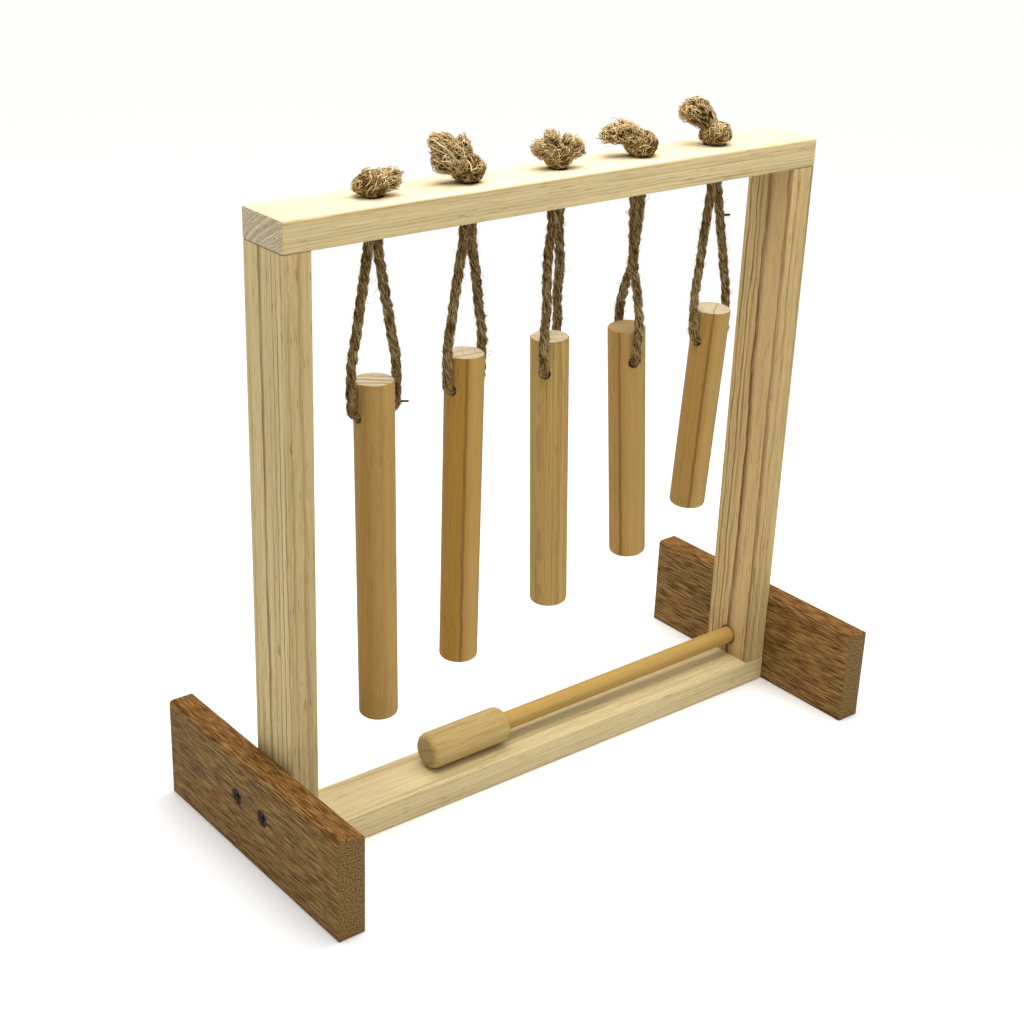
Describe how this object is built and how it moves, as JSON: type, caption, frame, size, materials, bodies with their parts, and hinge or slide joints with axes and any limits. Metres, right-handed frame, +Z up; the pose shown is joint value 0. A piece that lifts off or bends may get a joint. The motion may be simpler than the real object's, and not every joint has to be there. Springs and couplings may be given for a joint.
{
  "type": "wooden chime",
  "caption": "Table-top wooden chime: dowel chimes of falling length hung on knotted twine loops in a pine frame on hardwood feet, with a mallet stored along the bottom rail.",
  "frame": {"origin": "on the floor, under the middle of the frame", "axes": "+X along the frame from the longest chime to the shortest, +Y from front to back, +Z up"},
  "size_m": [0.456, 0.2, 0.4502],
  "materials": {
    "pine": "sanded, unpainted",
    "hardwood": "sanded, oiled",
    "chime_dowel": "smooth, satin",
    "mallet_pine": "sanded, unpainted",
    "handle_dowel": "smooth, satin",
    "jute": "rough, fibrous",
    "black_steel": "black coated"
  },
  "bodies": {
    "frame": {"top_beam": "pine", "bottom_rail": "pine", "left_upright": "pine", "right_upright": "pine", "left_foot": "hardwood", "right_foot": "hardwood", "foot_screw_left_front": "black_steel", "foot_screw_left_back": "black_steel", "foot_screw_right_front": "black_steel", "foot_screw_right_back": "black_steel", "frame_pin_bottom_left_front": "handle_dowel", "frame_pin_bottom_left_back": "handle_dowel", "frame_pin_bottom_right_front": "handle_dowel", "frame_pin_bottom_right_back": "handle_dowel", "frame_pin_top_left_front": "handle_dowel", "frame_pin_top_left_back": "handle_dowel", "frame_pin_top_right_front": "handle_dowel", "frame_pin_top_right_back": "handle_dowel", "twine_knot_1": "jute", "twine_knot_2": "jute", "twine_knot_3": "jute", "twine_knot_4": "jute", "twine_knot_5": "jute"},
    "neck_1": {"twine_neck_1": "jute"},
    "neck_2": {"twine_neck_2": "jute"},
    "neck_3": {"twine_neck_3": "jute"},
    "neck_4": {"twine_neck_4": "jute"},
    "neck_5": {"twine_neck_5": "jute"},
    "loop_1": {"twine_loop_1": "jute"},
    "loop_2": {"twine_loop_2": "jute"},
    "loop_3": {"twine_loop_3": "jute"},
    "loop_4": {"twine_loop_4": "jute"},
    "loop_5": {"twine_loop_5": "jute"},
    "hung_chime_1": {"chime_1": "chime_dowel"},
    "hung_chime_2": {"chime_2": "chime_dowel"},
    "hung_chime_3": {"chime_3": "chime_dowel"},
    "hung_chime_4": {"chime_4": "chime_dowel"},
    "hung_chime_5": {"chime_5": "chime_dowel"},
    "mallet": {"mallet_head": "mallet_pine", "mallet_handle": "handle_dowel"}
  },
  "joints": [
    {"name": "chime_1_swing", "type": "hinge", "parent": "frame", "child": "neck_1", "pos_m": [-0.136, 0, 0.39395], "axis": [1, 0, 0], "range_deg": [-30, 30]},
    {"name": "chime_1_sway", "type": "hinge", "parent": "neck_1", "child": "loop_1", "pos_m": [-0.136, 0.00002, 0.38695], "axis": [0, 1, 0.0035], "range_deg": [-5, 5]},
    {"name": "chime_1_rock", "type": "hinge", "parent": "loop_1", "child": "hung_chime_1", "pos_m": [-0.13473, 0.00039, 0.28296], "axis": [-0.9999, 0.0088, -0.0122], "range_deg": [-12, 12]},
    {"name": "chime_2_swing", "type": "hinge", "parent": "frame", "child": "neck_2", "pos_m": [-0.068, 0, 0.39395], "axis": [1, 0, 0], "range_deg": [-30, 30]},
    {"name": "chime_2_sway", "type": "hinge", "parent": "neck_2", "child": "loop_2", "pos_m": [-0.068, -0.00002, 0.38695], "axis": [0, 1, -0.0035], "range_deg": [-5, 5]},
    {"name": "chime_2_rock", "type": "hinge", "parent": "loop_2", "child": "hung_chime_2", "pos_m": [-0.06835, -0.00037, 0.28745], "axis": [-0.9778, -0.2096, 0.0041], "range_deg": [-12, 12]},
    {"name": "chime_3_swing", "type": "hinge", "parent": "frame", "child": "neck_3", "pos_m": [0, 0, 0.39395], "axis": [1, 0, 0], "range_deg": [-30, 30]},
    {"name": "chime_3_sway", "type": "hinge", "parent": "neck_3", "child": "loop_3", "pos_m": [0, 0.0001, 0.38695], "axis": [0, 0.9999, 0.014], "range_deg": [-5, 5]},
    {"name": "chime_3_rock", "type": "hinge", "parent": "loop_3", "child": "hung_chime_3", "pos_m": [0.0016, 0.00152, 0.28497], "axis": [-0.813, -0.5819, -0.0209], "range_deg": [-14, 10]},
    {"name": "chime_4_swing", "type": "hinge", "parent": "frame", "child": "neck_4", "pos_m": [0.068, 0, 0.39395], "axis": [1, 0, 0], "range_deg": [-30, 30]},
    {"name": "chime_4_sway", "type": "hinge", "parent": "neck_4", "child": "loop_4", "pos_m": [0.068, 0.0001, 0.38695], "axis": [0, 0.9999, 0.014], "range_deg": [-5, 5]},
    {"name": "chime_4_rock", "type": "hinge", "parent": "loop_4", "child": "hung_chime_4", "pos_m": [0.06837, 0.00159, 0.27996], "axis": [-0.3156, -0.9488, -0.0144], "range_deg": [-14, 6]},
    {"name": "chime_5_swing", "type": "hinge", "parent": "frame", "child": "neck_5", "pos_m": [0.136, 0, 0.39395], "axis": [1, 0, 0], "range_deg": [-26, 34]},
    {"name": "chime_5_sway", "type": "hinge", "parent": "neck_5", "child": "loop_5", "pos_m": [0.136, -0.00044, 0.38696], "axis": [0, 0.998, -0.0628], "range_deg": [-5, 5]},
    {"name": "chime_5_rock", "type": "hinge", "parent": "loop_5", "child": "hung_chime_5", "pos_m": [0.13546, -0.00696, 0.28337], "axis": [-0.9977, -0.0676, 0.0095], "range_deg": [-5, 19]},
    {"name": "mallet_draw", "type": "slide", "parent": "frame", "child": "mallet", "axis": [-1, 0, 0], "range_m": [0, 0.09]}
  ]
}
